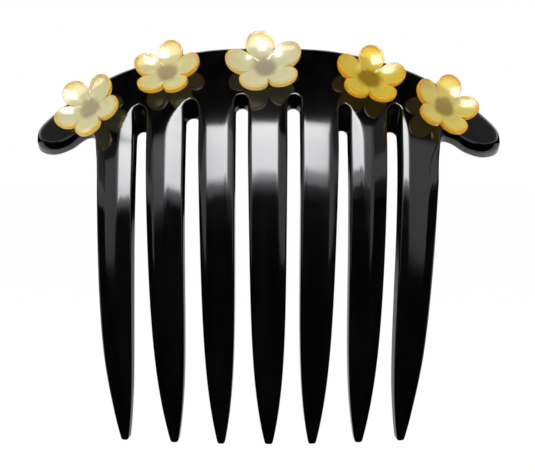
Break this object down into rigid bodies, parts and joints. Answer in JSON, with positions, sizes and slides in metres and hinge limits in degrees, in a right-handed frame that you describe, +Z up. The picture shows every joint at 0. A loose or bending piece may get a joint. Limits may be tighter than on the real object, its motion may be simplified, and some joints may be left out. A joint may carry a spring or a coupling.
{
  "type": "hair comb",
  "caption": "Curved black horn hair comb with long tapering teeth, rounded lobes at the ends of its arched bar and cast yellow resin flowers glued along the bar.",
  "frame": {"origin": "inside the root of the middle tooth, at the height where the gaps between the teeth begin: the place the hair rests against", "axes": "+X along the bar to the right as seen from the flowered side, +Z up from the tooth tips to the bar, -Y out of the convex flowered face (right-handed)"},
  "size_m": [0.1005, 0.0253, 0.0869],
  "materials": {
    "horn": "polished black horn",
    "resin_far_left": "cast translucent yellow resin, satin",
    "resin_left": "cast translucent yellow resin, satin",
    "resin_centre": "cast translucent yellow resin, satin",
    "resin_right": "cast translucent yellow resin, satin",
    "resin_far_right": "cast translucent yellow resin, satin",
    "glue": "clear cured adhesive, slightly amber"
  },
  "bodies": {
    "root": {"comb_body": "horn", "flower_far_left": "resin_far_left", "flower_left": "resin_left", "flower_centre": "resin_centre", "flower_right": "resin_right", "flower_far_right": "resin_far_right", "glue_far_left": "glue", "glue_left": "glue", "glue_centre": "glue", "glue_right": "glue", "glue_far_right": "glue"}
  },
  "joints": []
}
